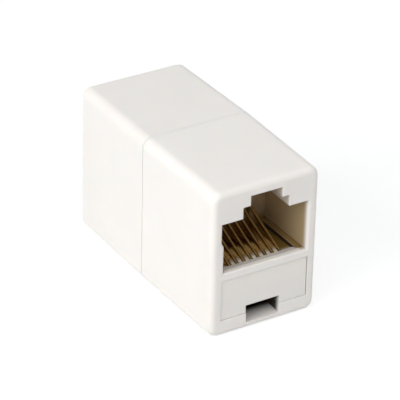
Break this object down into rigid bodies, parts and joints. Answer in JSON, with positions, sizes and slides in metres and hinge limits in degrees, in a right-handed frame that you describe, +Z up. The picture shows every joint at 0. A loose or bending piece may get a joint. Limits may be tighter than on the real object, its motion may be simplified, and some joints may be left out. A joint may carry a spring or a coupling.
{
  "type": "in-line modular coupler",
  "caption": "Small ivory box that joins two modular network plugs end to end, with a stepped port, sprung gold contacts and a carrier panel at each end.",
  "frame": {"origin": "centre of the flat underside, at the seam between the halves", "axes": "-Y out of the front port, +Y out of the rear port, +Z up towards the latch side of both ports, +X to the right seen from the front"},
  "size_m": [0.0156, 0.032, 0.0201],
  "materials": {
    "housing": "satin moulded ivory plastic",
    "carrier": "satin moulded ivory plastic, a little greyer",
    "contact": "thin gold plating on spring wire",
    "board": "printed circuit laminate"
  },
  "bodies": {
    "root": {"front_housing": "housing", "rear_housing": "housing", "front_carrier": "carrier", "rear_carrier": "carrier", "link_board": "board", "front_contact_1": "contact", "front_contact_2": "contact", "front_contact_3": "contact", "front_contact_4": "contact", "front_contact_5": "contact", "front_contact_6": "contact", "front_contact_7": "contact", "front_contact_8": "contact", "rear_contact_1": "contact", "rear_contact_2": "contact", "rear_contact_3": "contact", "rear_contact_4": "contact", "rear_contact_5": "contact", "rear_contact_6": "contact", "rear_contact_7": "contact", "rear_contact_8": "contact"}
  },
  "joints": []
}
